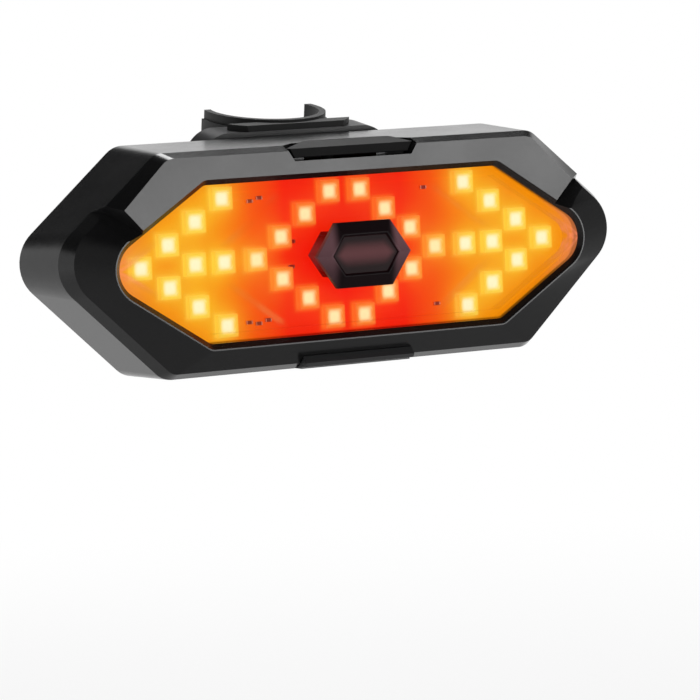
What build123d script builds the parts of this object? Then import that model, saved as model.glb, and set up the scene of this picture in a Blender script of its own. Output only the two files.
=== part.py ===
from build123d import *
import os
from dataclasses import dataclass, replace
from math import atan2, cos, radians, sin, tan

# Bicycle tail lamp with turn signals, on a strap bracket for a round post.
# Millimetres. +X is to the right as seen from behind the bicycle, +Z is up,
# and the lens faces -Y. The origin is on the axis of the clamp bore, level
# with the middle of the lens. Depths are measured backwards from the lens rim.

# Lamp body
body_top = 26.4
body_bottom_rise = 1.5
body_bottom = body_bottom_rise - body_top
body_corner_x = 48.6
body_tip_x = 77.0
body_tip_z = 1.9
body_corner_r = 6.0
body_tip_r = 8.8
body_tip_swell = 1.8
body_depth = 22.0
draft_inset = 1.7
wall = 2.2
back_to_post = 24.6
rim_to_post = body_depth + back_to_post

# Lens opening
bezel_height = 9.0
opening_half_height = body_top - bezel_height
opening_corner_x = 37.2
opening_tip_x = 64.1
opening_corner_r = 1.8
opening_tip_r = 6.5

# Clamp
post_d = 25.4
post_lean = 9.7
clamp_low = -16.0
clamp_high = 30.6

# Clearances shared by every fit
cut_overrun = 5.0
loose_fit = 0.3
slide_fit = 0.2
face_gap = 0.05
turn_fit = 0.06
least_r = 0.4

# Bezel around the lens
rim_chamfer = 1.2
rim_land = 0.3
face_fall = 3.2
bevel_inset = 1.3
bevel_run = 2.7
frame_thickness = 2.2
cavity_front = 6.2

# Brow over the lens
brow_drop = 2.7
brow_half_height = body_top - brow_drop
brow_bevel_depth = 2.8
brow_corner_x = 46.4
brow_tip_x = 71.0
brow_corner_r = 4.0
brow_inner_x = 53.0
brow_inner_z = 8.6
brow_outer_x = 57.3
brow_outer_z = 13.2
groove_width = 3.0
groove_fall = 1.3
brow_end_lean_share = 0.6

# Mode button in the top edge
recess_half_width = 16.4
recess_floor_half_width = 14.9
recess_back_half_width = 12.4
recess_depth = 5.0
recess_floor_z = body_top - recess_depth
recess_taper_depth = 2.9
recess_back_depth = 6.1
button_set_back = 0.9
button_travel = 0.6
tongue_half_width = 9.0
tongue_thickness = 0.9
tongue_back_depth = 14.4
switch_width = 6.0
switch_height = 3.9
plunger_r = 1.4
plunger_rise = 1.2

# Lens
lens_flange = 1.9
lens_flange_thickness = 1.2
lens_skirt = 1.2
lens_thickness = 1.9
lens_edge_depth = 0.5
lens_front_depth = -1.0
lens_band = 2.4
plateau_half_height = 15.1
plateau_corner_x = 19.2
plateau_tip_x = 39.6
plateau_rise = 0.6
plateau_edge = 0.8
gasket_margin = 0.35

# Centre cap
cap_half_height = 7.3
cap_corner_x = 7.0
cap_tip_x = 12.1
cap_front_depth = -3.3
cap_face_inset = 1.9
cap_face_rise = 0.6
cap_neck_inset = 2.2

# Boards and lamps
board_thickness = 1.6
board_margin = 3.4
led_size = 5.0
led_height = 1.6
led_window_r = 2.0
led_window_sides = 12
led_window_depth = 0.35
arrow_first_x = 31.0
arrow_pitch_x = 6.85
lamp_margin = 3.36
arrow_shaft_pitch_x = 7.2
ring_first_x = 3.9
ring_pitch_x = 6.35
rows = 3
lamp_pitch_z = (opening_half_height - lamp_margin) / rows
board_screw_x = 28.0
board_screw_margin = 3.1
board_screw_z = opening_half_height + board_screw_margin
board_ear_r = 1.9
control_board_thickness = 1.2
control_board_left = -19.0
control_board_right = 33.0
control_board_margin_low = 4.3
control_board_margin_high = 5.8
control_board_low = body_bottom + control_board_margin_low
control_board_high = body_top - control_board_margin_high
control_board_gap = 1.8
spacer_x_left = -16.0
spacer_x_right = 30.0
spacer_z = 14.0
spacer_r = 2.0
chip_side = 7.0
chip_height = 1.2
chip_dimple_r = 0.7
chip_x = 13.0
chip_z = 4.0
receiver_width = 11.0
receiver_length = 16.0
receiver_board_thickness = 0.8
receiver_can_height = 0.7
receiver_can_share = 0.7
receiver_x = 25.0
receiver_z = -3.0
antenna_r = 0.4
antenna_coil_r = 1.1
antenna_pitch = 1.1
antenna_turns = 7
antenna_x = 22.0
header_pins = 6
header_pitch = 2.0
header_width = 2.0
header_z = -11.0

# Battery
battery_length = 40.0
battery_height = 30.0
battery_room = 2.1
battery_right = -5.0
battery_left = battery_right - battery_length
battery_edge_share = 0.4
pad_thickness = 0.7
plug_width = 5.0
plug_height = 4.0
plug_thickness = 1.4
plug_x = 2.5
plug_z = -8.0
lead_r = 0.45
lead_pitch = 1.5

# Charging port and its cover
port_width = 8.94
port_height = 3.2
port_length = 7.3
port_wall = 0.35
port_tongue_width = 6.6
port_tongue_height = 0.7
port_fit = 0.15
cover_half_width = 13.9
cover_recess_rise = 2.0
cover_recess_z = body_bottom + cover_recess_rise
cover_front_depth = 3.0
cover_pin_inset = 5.7
cover_pin_depth = body_depth - cover_pin_inset
cover_pin_margin = 0.5
cover_back_depth = cover_pin_depth - cover_pin_margin
cover_lip_height = 0.9
cover_lip_drop = 0.6
cover_lip_tip_depth = 0.7
cover_lip_under_drop = 1.5
cover_lip_under_depth = 1.3
cover_lip_z = cover_recess_z + cover_lip_height
cover_lip_tip_z = cover_recess_z - cover_lip_drop
cover_lip_under_z = cover_recess_z - cover_lip_under_drop
cover_pin_fall = 0.95
cover_pin_z = cover_recess_z - cover_pin_fall
cover_pin_r = 0.8
cover_pin_length = 1.5
cover_plug_width = 6.8
cover_plug_thickness = 1.7
cover_plug_height = 1.0
port_block_margin = 2.4
port_block_rise = 4.0
port_block_z = body_bottom + port_block_rise

# Rear cover
ledge_width = 1.0
rear_gasket_thickness = 0.6
cover_plate_thickness = 2.2
cover_sink = 0.2
ledge_depth = body_depth - cover_sink - cover_plate_thickness - rear_gasket_thickness
boss_r = 3.2
boss_x = 48.5
boss_inset_z = 6.8
boss_top_z = body_top - boss_inset_z
boss_bottom_z = body_bottom + boss_inset_z
tip_boss_x = 65.5
screw_r = 0.95
screw_hole_r = 1.05
screw_head_r = 2.0
screw_head_height = 1.2
screw_length = 9.0
small_screw_r = 0.7
small_screw_hole_r = 0.8
small_screw_bite = 3.2
small_head_r = 1.5
small_head_height = 0.9
driver_slot_r = 0.7
driver_slot_sides = 6
lead_sides = 8
driver_slot_depth = 0.5

# Rail on the rear cover
rail_low = -13.0
rail_high = 15.0
rail_stop = 2.0
head_half_width = 12.0
head_thickness = 2.0
rail_wall = 2.8
rail_lip = 2.7
rail_lip_thickness = 1.5

# Bracket and strap
saddle_thickness = 2.2
bracket_front_wall = 5.1
bracket_back_y = 12.0
bracket_corner_r = 8.0
bracket_shoulder_r = 7.0
bracket_plate_gap = 0.3
neck_clearance = 0.3
arm_slot_half_width = 4.2
arm_slot_offset = 3.5
arm_wall = 1.9
arm_front_y = -8.0
arm_high = 18.0
arm_slot_front_y = 3.1
arm_slot_low = -9.0
arm_slot_high = 15.0
pin_r = 1.9
pin_y = 7.4
pad_flange_thickness = 1.35
pad_flange_margin = 5.0
pad_flange_back_y = -12.0
pad_collar_height = 0.6
pad_collar_thickness = 1.6
pad_opening_y = 3.0
strap_thickness = 3.0
strap_eye_wall = 1.7
strap_gap = 0.3
strap_mouth = 2.6
strap_leg_share = 0.35


@dataclass(frozen=True)
class Outline:
    """Six-sided outline with a flat top and bottom and a rounded point at each side."""

    points: tuple
    corner_r: float
    tip_r: float

    @property
    def high(self):
        """Height of the flat top."""
        return max(z for _, z in self.points)

    def grown(self, amount):
        """The same outline moved outwards, or inwards where the amount is negative."""
        moved = []
        befores, afters = self.points[-1:] + self.points[:-1], self.points[1:] + self.points[:1]
        for before, here, after in zip(befores, self.points, afters):
            first, second = outward(before, here), outward(here, after)
            reach = amount / (1 + first.dot(second))
            moved.append((here[0] + reach * (first.X + second.X), here[1] + reach * (first.Y + second.Y)))
        return Outline(tuple(moved), max(self.corner_r + amount, least_r), max(self.tip_r + amount, least_r))

    def face(self, depth):
        """Flat face of this outline at a depth behind the lens rim."""
        sketch = make_face(Polyline(*self.points, close=True))
        sketch = fillet(sketch.vertices().sort_by(Axis.X)[1:-1], self.corner_r)
        ends = sketch.vertices().sort_by(Axis.X)
        sketch = fillet([ends[0], ends[-1]], self.tip_r)
        return at_depth(depth) * sketch


    def reaching(self, low):
        """The same outline with its slanted sides run on, or cut off, to a flat bottom at a height."""
        tip, corner = self.points[2], self.points[3]
        share = (tip[1] - low) / (tip[1] - corner[1])
        x = tip[0] + share * (corner[0] - tip[0])
        return replace(self, points=(*self.points[:3], (x, low), (-x, low), self.points[5]))


def outward(start, end):
    """Unit vector that points out of a side of an outline whose corners run clockwise."""
    return Vector(start[1] - end[1], end[0] - start[0]).normalized()


def six_sided(high, corner, tip, corner_r, tip_r):
    """Outline of equal halves above and below, from its half height, corners and side points."""
    points = ((-corner, high), (corner, high), (tip, 0), (corner, -high), (-corner, -high), (-tip, 0))
    return Outline(points, corner_r, tip_r)


def y_at(depth):
    """Y of a depth behind the lens rim."""
    return depth - rim_to_post


def at_depth(depth):
    """Plane that faces the viewer at a depth behind the lens rim."""
    return Plane(origin=(0, y_at(depth), 0), x_dir=(1, 0, 0), z_dir=(0, -1, 0))


def slab(outline, front, back):
    """Straight-sided solid of an outline between two depths."""
    return extrude(outline.face(front), amount=back - front, dir=(0, 1, 0))


def stack(*sections):
    """Solid through outlines given as pairs of outline and depth."""
    return loft([outline.face(depth) for outline, depth in sections], ruled=True)


def block(left, right, front, back, low, high):
    """Box between two X places, two depths and two heights."""
    centre = ((left + right) / 2, (y_at(front) + y_at(back)) / 2, (low + high) / 2)
    return Pos(*centre) * Box(right - left, back - front, high - low)


def rod(x, z, front, back, r):
    """Round rod along Y between two depths."""
    return extrude(at_depth(front) * Pos(x, z) * Circle(r), amount=back - front, dir=(0, 1, 0))


def upright(x, depth, low, high, r):
    """Round rod along Z at a depth."""
    return Pos(x, y_at(depth), low) * extrude(Circle(r), amount=high - low)


def crossbar(left, right, depth, z, r):
    """Round rod along X at a depth."""
    ends = Plane(origin=(left, y_at(depth), z), x_dir=(0, 1, 0), z_dir=(1, 0, 0))
    return extrude(ends * Circle(r), amount=right - left, dir=(1, 0, 0))


def side_profile(points, left, right):
    """Solid of a closed outline of depth and height pairs, between two X places."""
    plane = Plane(origin=(left, 0, 0), x_dir=(0, 1, 0), z_dir=(1, 0, 0))
    outline = make_face(Polyline(*[(y_at(depth), z) for depth, z in points], close=True))
    return extrude(plane * outline, amount=right - left, dir=(1, 0, 0))


def front_profile(points, front, back):
    """Solid of a closed outline of X and height pairs, between two depths."""
    outline = make_face(Polyline(*points, close=True))
    return extrude(at_depth(front) * outline, amount=back - front, dir=(0, 1, 0))


def top_profile(points, low, high):
    """Solid of a closed outline of X and depth pairs, between two heights."""
    outline = make_face(Polyline(*[(x, y_at(depth)) for x, depth in points], close=True))
    return Pos(0, 0, low) * extrude(outline, amount=high - low)


def both_sides(solid):
    """A solid and its mirror image across the middle plane."""
    return solid + mirror(solid, about=Plane.YZ)


rear_half = ((body_corner_x, body_top), (body_tip_x, body_tip_z), (body_corner_x, body_bottom))
rear_left = tuple((-x, z) for x, z in reversed(rear_half))
rear = Outline((rear_left[-1], *rear_half, *rear_left[:-1]), body_corner_r, body_tip_r)
opening = six_sided(opening_half_height, opening_corner_x, opening_tip_x, opening_corner_r, opening_tip_r)


def body_outline(depth):
    """Outer outline of the wall at a depth: its top and sides are drafted, and its bottom is level."""
    share = 1 - depth / body_depth
    inset = rear.grown(-draft_inset * share).reaching(body_bottom)
    return replace(inset, tip_r=body_tip_r + body_tip_swell * share)


# Depths that several pieces share
flange_front = frame_thickness + rear_gasket_thickness
flange_back = flange_front + lens_flange_thickness
board_back = cavity_front + board_thickness
control_front = board_back + control_board_gap
control_back = control_front + control_board_thickness
cover_front = ledge_depth + rear_gasket_thickness
cover_back = cover_front + cover_plate_thickness
battery_back = cover_front - pad_thickness
battery_front = control_back + battery_room
battery_edge_r = (battery_back - battery_front) * battery_edge_share
head_front = cover_back + slide_fit
head_back = head_front + head_thickness
lip_front = head_back + slide_fit
lip_back = lip_front + rail_lip_thickness
button_floor = recess_floor_z + button_travel + face_gap
switch_top = button_floor - plunger_rise
port_mouth_z = cover_recess_z + face_gap
port_depth = control_back + port_height / 2

boss_places = [(sx * boss_x, z) for sx in (-1, 1) for z in (boss_bottom_z, boss_top_z)]
boss_places += [(-tip_boss_x, body_tip_z), (tip_boss_x, body_tip_z)]
board_screw_places = [(sx * board_screw_x, sz * board_screw_z) for sx in (-1, 1) for sz in (-1, 1)]
spacer_places = [(x, sz * spacer_z) for x in (spacer_x_left, spacer_x_right) for sz in (-1, 1)]


def brow_form():
    """Raised brow: a flat face with a bevel round it, ended by a leaning cut at each side."""
    brow = six_sided(brow_half_height, brow_corner_x, brow_tip_x, brow_corner_r, body_tip_r)
    back = body_depth + cut_overrun
    bevel_end = body_outline(brow_bevel_depth)
    bevelled = stack((brow, 0), (bevel_end, brow_bevel_depth), (body_outline(back), back))
    return bevelled & loft([brow_limit(-cut_overrun), brow_limit(back)], ruled=True)


def brow_limit(depth):
    """Face of the region that the brow fills at a depth; its ends lean outwards with depth."""
    along = Vector(brow_outer_x - brow_inner_x, brow_outer_z - brow_inner_z)
    shift = Vector(along.Y, -along.X).normalized() * brow_end_lean_share * depth
    reach = body_top / along.Y
    inner = Vector(brow_inner_x, brow_inner_z) + shift
    low, high = inner - along, inner + along * reach
    half = [(low.X, low.Y), (high.X, high.Y), (high.X, high.Y + body_top)]
    points = half + [(-x, z) for x, z in reversed(half)]
    return at_depth(depth) * make_face(Polyline(*points, close=True))


def groove_cut():
    """Slanted wedge that lowers the bezel face towards the foot of the brow's end."""
    along = Vector(brow_outer_x - brow_inner_x, face_fall, brow_outer_z - brow_inner_z)
    across = Vector(along.Z, 0, -along.X).normalized()
    edge = Vector(brow_inner_x, y_at(0), brow_inner_z) + across * groove_width
    down = across * -groove_width + Vector(0, groove_fall, 0)
    floor = Plane(origin=edge, x_dir=along, z_dir=along.cross(down))
    reach = 2 * along.length
    return floor * Pos(0, 0, reach / 2) * Box(2 * reach, 2 * reach, reach)


def recess_form(inset, front, floor_z):
    """Long hexagon that wraps over the top edge; an inset of zero is the recess itself."""
    high = body_top + cut_overrun
    top, floor = recess_half_width - inset, recess_floor_half_width - inset
    back_half = recess_back_half_width - inset
    shoulder = brow_half_height
    from_front = front_profile(
        [(-floor, floor_z), (floor, floor_z), (top, shoulder), (top, high), (-top, high), (-top, shoulder)],
        front, recess_back_depth - inset)
    from_above = top_profile(
        [(-top, -cut_overrun), (top, -cut_overrun), (top, recess_taper_depth),
         (back_half, recess_back_depth - inset), (-back_half, recess_back_depth - inset),
         (-top, recess_taper_depth)],
        floor_z - cut_overrun, high + cut_overrun)
    return from_front & from_above


def wall_form():
    """Drafted outer form of the lamp body, before its front is shaped."""
    return stack((body_outline(0), 0), (rear, body_depth))


def front_form():
    """Bezel faces: the lower face falls back from the rim, and the brow stands over it."""
    edge = body_outline(face_fall).grown(-bevel_inset)
    rate = bevel_inset / bevel_run
    back = body_depth + cut_overrun
    lower = stack((opening.grown(rim_chamfer + rim_land), 0), (edge, face_fall),
                  (edge.grown(rate * (back - face_fall)), back))
    return lower - both_sides(groove_cut()) + brow_form()


def housing():
    """Moulded body: bezel, brow and drafted side walls in one piece, open at the back."""
    body = front_form() & wall_form()
    body -= stack((opening.grown(rim_chamfer + cut_overrun), -cut_overrun), (opening, rim_chamfer))
    body -= slab(opening, 0, cavity_front + cut_overrun)
    body -= slab(opening.grown(lens_flange + loose_fit), frame_thickness, cavity_front + cut_overrun)
    back = body_depth + cut_overrun
    cavity = body_outline(cavity_front).grown(-wall)
    body -= stack((cavity, cavity_front), (body_outline(back).grown(-wall), back))
    body -= slab(rear.grown(ledge_width - wall), ledge_depth, back)
    body += housing_bosses()
    body += port_block()
    body -= recess_form(0, -cut_overrun, recess_floor_z)
    slot_half = tongue_half_width + loose_fit
    body -= block(-slot_half, slot_half, recess_back_depth - wall, tongue_back_depth + loose_fit,
                  recess_floor_z, button_floor + tongue_thickness + loose_fit)
    body -= cover_recess()
    for x, z in board_screw_places:
        body -= rod(x, z, cavity_front - small_screw_bite, cavity_front, small_screw_hole_r)
    return body


def housing_bosses():
    """Screw bosses that run back from the bezel to the rear cover."""
    bosses = [rod(x, z, cavity_front - wall / 2, cover_front, boss_r) for x, z in boss_places]
    limit = stack((body_outline(0).grown(-wall / 2), 0), (rear.grown(-wall / 2), body_depth))
    solid = (Part() + bosses) & limit
    inside = body_outline(ledge_depth).grown(-wall - slide_fit)
    solid -= ring_between(rear.grown(wall), inside, ledge_depth, cover_front + cut_overrun)
    for x, z in boss_places:
        solid -= rod(x, z, cover_front - screw_length, cover_front, screw_hole_r)
    return solid


def port_block():
    """Thicker floor inside the bottom wall that carries the charging port's cover."""
    half = cover_half_width + loose_fit + port_block_margin
    solid = block(-half, half, cavity_front - face_gap, ledge_depth, body_bottom, port_block_z)
    return solid & stack((body_outline(0).grown(-wall / 2), 0), (rear.grown(-wall / 2), body_depth))


def cover_recess():
    """Recess for the charging port's cover, with the port hole and the two pin holes."""
    half = cover_half_width + loose_fit
    back = cover_pin_depth + wall
    cut = block(-half, half, -cut_overrun, back, body_bottom - cut_overrun, cover_recess_z)
    cut += port_hole()
    reach = half + cover_pin_length
    cut += crossbar(-reach, reach, cover_pin_depth, cover_pin_z, cover_pin_r + turn_fit)
    return cut


def port_hole():
    """Hole in the bottom wall for the mouth of the charging port."""
    flat = at_height(cover_recess_z - cut_overrun / 2)
    shape = Pos(0, y_at(port_depth)) * RectangleRounded(
        port_width + 2 * port_fit, port_height + 2 * port_fit, port_height / 2)
    return extrude(flat * shape, amount=port_block_z - cover_recess_z + cut_overrun, dir=(0, 0, 1))


def at_height(z):
    """Level plane at a height."""
    return Plane(origin=(0, 0, z), x_dir=(1, 0, 0), z_dir=(0, 0, 1))


def lens():
    """Clear lens: bevelled ends, a raised six-sided field, and a skirt down to the lamp board."""
    plug = opening.grown(-loose_fit / 2)
    field = plug.grown(-lens_band)
    plateau = six_sided(plateau_half_height, plateau_corner_x, plateau_tip_x, least_r, least_r)
    front = stack((field, lens_front_depth), (plug, lens_edge_depth), (plug, flange_front))
    top = (plateau.grown(-plateau_edge), lens_front_depth - plateau_rise)
    raised = stack(top, (plateau, lens_front_depth), (plateau, lens_edge_depth))
    flange = opening.grown(lens_flange)
    body = front + (raised & slab(field, -cut_overrun, flange_front))
    body += slab(flange, flange_front, cavity_front)
    hollow = opening.grown(lens_flange - lens_skirt)
    body -= slab(hollow, flange_back, cavity_front + cut_overrun)
    body -= slab(plug.grown(-lens_thickness), lens_front_depth + lens_thickness, flange_back + cut_overrun)
    return body - slab(cap_neck().grown(face_gap), -cut_overrun, cavity_front)


def cap_outline():
    """Outline of the centre cap."""
    return six_sided(cap_half_height, cap_corner_x, cap_tip_x, least_r, least_r)


def cap_neck():
    """Outline of the neck behind the centre cap."""
    return cap_outline().grown(-cap_neck_inset)


def centre_cap():
    """Six-sided cap that stands out of the lens on a neck from the lamp board."""
    head = cap_outline()
    seat = lens_front_depth - plateau_rise
    face, shoulder = head.grown(-cap_face_inset), head.grown(-cap_face_rise)
    body = stack((face, cap_front_depth - cap_face_rise), (shoulder, cap_front_depth), (head, seat))
    return body + slab(cap_neck(), seat, cavity_front)


def ring_between(outer, inner, front, back):
    """Flat ring between two outlines."""
    return slab(outer, front, back) - slab(inner, front - cut_overrun, back + cut_overrun)


def lens_gasket():
    """Soft ring between the bezel and the lens flange."""
    inner = opening.grown(gasket_margin)
    return ring_between(opening.grown(lens_flange), inner, frame_thickness, flange_front)


def led_board():
    """White board that carries the lamps, with an ear at each screw."""
    body = slab(opening.grown(board_margin), cavity_front, board_back)
    for x, z in board_screw_places:
        ear = rod(x, z, cavity_front, board_back, board_ear_r)
        root = block(x - board_ear_r, x + board_ear_r, cavity_front, board_back, min(z, 0), max(z, 0))
        body += ear + root
    for x, z in board_screw_places:
        body -= rod(x, z, cavity_front, board_back, small_screw_hole_r)
    return body


def lamp(x, z):
    """One surface-mounted lamp with a round window in its front."""
    half = led_size / 2
    front = cavity_front - led_height
    body = block(x - half, x + half, front, cavity_front, z - half, z + half)
    window = RegularPolygon(led_window_r, led_window_sides)
    cut = extrude(at_depth(front) * Pos(x, z) * window, amount=led_window_depth, dir=(0, 1, 0))
    return body - cut


def arrow_places(side):
    """Places of one arrow: a pointed row of lamps and a two-lamp shaft."""
    places = []
    for row in range(-rows, rows + 1):
        x = arrow_first_x + (rows - abs(row)) * arrow_pitch_x
        places.append((side * x, row * lamp_pitch_z))
    places += [(side * (arrow_first_x + step * arrow_shaft_pitch_x), 0) for step in range(2)]
    return places


def ring_places():
    """Places of the brake lamps, round the centre cap."""
    places = []
    for side in (-1, 1):
        for row in range(-rows, rows + 1):
            x = ring_first_x + (rows - abs(row)) * ring_pitch_x
            places.append((side * x, row * lamp_pitch_z))
    return places


def lamps(places):
    """Separate lamps at a list of places."""
    return Compound(children=[lamp(x, z) for x, z in places])


def screw(x, z, seat, tip, r, head_r, head_height):
    """Pan-head screw pointing forwards, with a round driver socket."""
    body = rod(x, z, tip, seat, r) + rod(x, z, seat, seat + head_height, head_r)
    mouth = at_depth(seat + head_height - driver_slot_depth) * Pos(x, z)
    shape = RegularPolygon(driver_slot_r, driver_slot_sides)
    socket = extrude(mouth * shape, amount=driver_slot_depth, dir=(0, 1, 0))
    return body - socket


def board_screws():
    """Four small screws that hold the lamp board to the housing."""
    tip = cavity_front - small_screw_bite + slide_fit
    return Compound(children=[
        screw(x, z, board_back, tip, small_screw_r, small_head_r, small_head_height)
        for x, z in board_screw_places])


def control_board():
    """Board with the controller, charging port and mode switch."""
    body = block(control_board_left, control_board_right, control_front, control_back,
                 control_board_low, control_board_high)
    for x, z in spacer_places:
        body -= rod(x, z, control_front, control_back, small_screw_hole_r)
    return body


def spacers():
    """Four spacers between the two boards."""
    posts = []
    for x, z in spacer_places:
        post = rod(x, z, board_back, control_front, spacer_r)
        posts.append(post - rod(x, z, board_back, control_front, small_screw_hole_r))
    return Compound(children=posts)


def control_screws():
    """Four small screws through the control board into the spacers."""
    return Compound(children=[
        screw(x, z, control_back, board_back + face_gap, small_screw_r, small_head_r, small_head_height)
        for x, z in spacer_places])


def board_header():
    """Row of pins that joins the two boards."""
    half, high = header_pins * header_pitch / 2, header_width / 2
    return block(-half, half, board_back, control_front, header_z - high, header_z + high)


def control_chip():
    """Controller chip with its pin-one dimple."""
    half, top = chip_side / 2, control_back + chip_height
    body = block(chip_x - half, chip_x + half, control_back, top, chip_z - half, chip_z + half)
    return body - rod(chip_x - half / 2, chip_z + half / 2, top - chip_height / 2, top, chip_dimple_r)


def receiver_module():
    """Radio receiver on its own small board, with a metal can."""
    half_x, half_z = receiver_width / 2, receiver_length / 2
    board_rear = control_back + receiver_board_thickness
    body = block(receiver_x - half_x, receiver_x + half_x, control_back, board_rear,
                 receiver_z - half_z, receiver_z + half_z)
    can_x, can_z = half_x * receiver_can_share, half_z * receiver_can_share
    return body + block(receiver_x - can_x, receiver_x + can_x, board_rear, board_rear + receiver_can_height,
                        receiver_z - can_z, receiver_z + can_z)


def antenna():
    """Coiled wire aerial on the control board."""
    height = antenna_turns * antenna_pitch
    path = Helix(pitch=antenna_pitch, height=height, radius=antenna_coil_r)
    section = Plane(origin=path @ 0, z_dir=path % 0) * RegularPolygon(antenna_r, lead_sides)
    coil = sweep(section, path=path, is_frenet=True)
    lift = y_at(control_back) + antenna_coil_r + antenna_r
    return Pos(antenna_x, lift, control_board_high - height - antenna_pitch) * coil


def battery():
    """Flat pouch cell with rounded long edges."""
    half = battery_height / 2
    body = block(battery_left, battery_right, battery_front, battery_back, -half, half)
    return fillet(body.edges().filter_by(Axis.Z), battery_edge_r)


def battery_pad():
    """Foam tape between the cell and the rear cover."""
    inset = battery_edge_r * 2
    half = battery_height / 2 - inset
    return block(battery_left + inset, battery_right - inset, battery_back, cover_front, -half, half)


def battery_plug():
    """Plug of the cell's short lead, on the control board."""
    half_x, half_z = plug_width / 2, plug_height / 2
    return block(plug_x - half_x, plug_x + half_x, control_back, control_back + plug_thickness,
                 plug_z - half_z, plug_z + half_z)


def battery_lead():
    """Two wires from the edge of the cell to its plug."""
    start_x = battery_right
    end_x = plug_x - plug_width / 2
    start_y = y_at((battery_front + battery_back) / 2)
    end_y = y_at(control_back + plug_thickness / 2)
    wires = []
    for side in (-1, 1):
        z = plug_z + side * lead_pitch / 2
        path = Spline((start_x, start_y, z), (end_x, end_y, z), tangents=((1, 0, 0), (1, 0, 0)))
        section = Plane(origin=(start_x, start_y, z), z_dir=(1, 0, 0)) * RegularPolygon(lead_r, lead_sides)
        wires.append(sweep(section, path=path))
    return Compound(children=wires)


def charging_port():
    """Charging socket: a rounded shell open at its mouth, with its tongue inside."""
    mouth = at_height(port_mouth_z)
    outer = Pos(0, y_at(port_depth)) * RectangleRounded(port_width, port_height, port_height / 2 - face_gap)
    inner = Pos(0, y_at(port_depth)) * RectangleRounded(
        port_width - 2 * port_wall, port_height - 2 * port_wall, port_height / 2 - port_wall - face_gap)
    shell = extrude(mouth * outer, amount=port_length, dir=(0, 0, 1))
    shell -= extrude(mouth * inner, amount=port_length - port_wall * 2, dir=(0, 0, 1))
    tongue_low = port_mouth_z + cover_plug_height + loose_fit
    half, thick = port_tongue_width / 2, port_tongue_height / 2
    tongue_high = port_mouth_z + port_length
    return shell + block(-half, half, port_depth - thick, port_depth + thick, tongue_low, tongue_high)


def port_cover():
    """Rubber cover in the bottom edge, with a finger lip, a plug and two pins that it swings on."""
    top = cover_recess_z - slide_fit
    half = cover_half_width
    plate = block(-half, half, cover_front_depth, cover_back_depth, body_bottom, top) & wall_form()
    lip = side_profile(lip_points(top), -half, half)
    plug_half = cover_plug_width / 2
    plug_front = port_depth - cover_plug_thickness / 2
    plug_back = plug_front + cover_plug_thickness
    plug = block(-plug_half, plug_half, plug_front, plug_back, top, top + cover_plug_height)
    knuckle = crossbar(-half, half, cover_pin_depth, cover_pin_z, cover_pin_r)
    web = block(-half, half, cover_back_depth - wall / 2, cover_pin_depth, cover_pin_z - cover_pin_r, top)
    reach = half + loose_fit + cover_pin_length - face_gap
    pins = crossbar(-reach, reach, cover_pin_depth, cover_pin_z, cover_pin_r)
    return plate + lip + plug + (web & wall_form()) + knuckle + pins


def lip_points(top):
    """Side outline of the cover's finger lip, which follows the bezel face inside."""
    bevel_end = face_fall + bevel_run + loose_fit
    return [(lip_face_depth(cover_lip_z), cover_lip_z), (cover_lip_tip_depth, cover_lip_tip_z),
            (cover_lip_under_depth, cover_lip_under_z), (bevel_end, body_bottom), (bevel_end, top),
            (lip_face_depth(top), top)]


def lip_face_depth(z):
    """Depth of the lower bezel face at a height, less the gap that the lip keeps to it."""
    rim = -opening_half_height - rim_chamfer - rim_land
    edge = body_bottom + bevel_inset
    return face_fall * (z - rim) / (edge - rim) - slide_fit


def mode_button():
    """Button cap that fills the top recess, with a tongue back to the switch."""
    slope_share = (recess_half_width - recess_floor_half_width) / (brow_half_height - recess_floor_z)
    cap = recess_form(slide_fit + button_travel * slope_share, button_set_back, recess_floor_z) & wall_form()
    lid = body_outline(recess_back_depth).high - loose_fit * 2
    cap &= block(-recess_half_width, recess_half_width, 0, recess_back_depth, button_floor, lid)
    tongue = block(-tongue_half_width, tongue_half_width, recess_back_depth - wall, tongue_back_depth,
                   button_floor, button_floor + tongue_thickness)
    return cap + tongue


def switch_depth():
    """Depth of the switch's middle behind the control board."""
    return control_back + switch_width / 4


def mode_switch():
    """Switch body on the control board's upper edge, with a well for its plunger."""
    half = switch_width / 2
    front, back = control_back, control_back + switch_width / 2
    body = block(-half, half, front, back, switch_top - switch_height, switch_top)
    well_floor = switch_top - switch_height + plunger_rise
    return body - upright(0, switch_depth(), well_floor, switch_top + cut_overrun, plunger_r + turn_fit)


def switch_plunger():
    """Plunger of the switch, which the button's tongue presses."""
    low = switch_top - (switch_height - plunger_rise) + button_travel + face_gap
    return upright(0, switch_depth(), low, switch_top + plunger_rise, plunger_r)


def rear_gasket():
    """Seal between the housing's ledge and the rear cover."""
    outer = rear.grown(ledge_width - wall - slide_fit)
    inner = body_outline(ledge_depth).grown(-wall)
    return ring_between(outer, inner, ledge_depth, cover_front)


def rear_cover():
    """Back plate with the two rails that slide over the bracket's head."""
    body = slab(rear.grown(ledge_width - wall - slide_fit), cover_front, cover_back)
    inner = head_half_width + slide_fit
    for side in (-1, 1):
        near, far = side * inner, side * (inner + rail_wall)
        body += block(min(near, far), max(near, far), cover_back, lip_back, rail_low, rail_high)
        edge = side * (inner - rail_lip)
        body += block(min(edge, far), max(edge, far), lip_front, lip_back, rail_low, rail_high)
    stop_half = inner + rail_wall
    body += block(-stop_half, stop_half, cover_back, lip_back, rail_high - rail_stop, rail_high)
    for x, z in boss_places:
        body -= rod(x, z, cover_front, cover_back, screw_hole_r)
        body -= rod(x, z, cover_back - screw_head_height, cover_back, screw_head_r + slide_fit)
    return body


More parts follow.
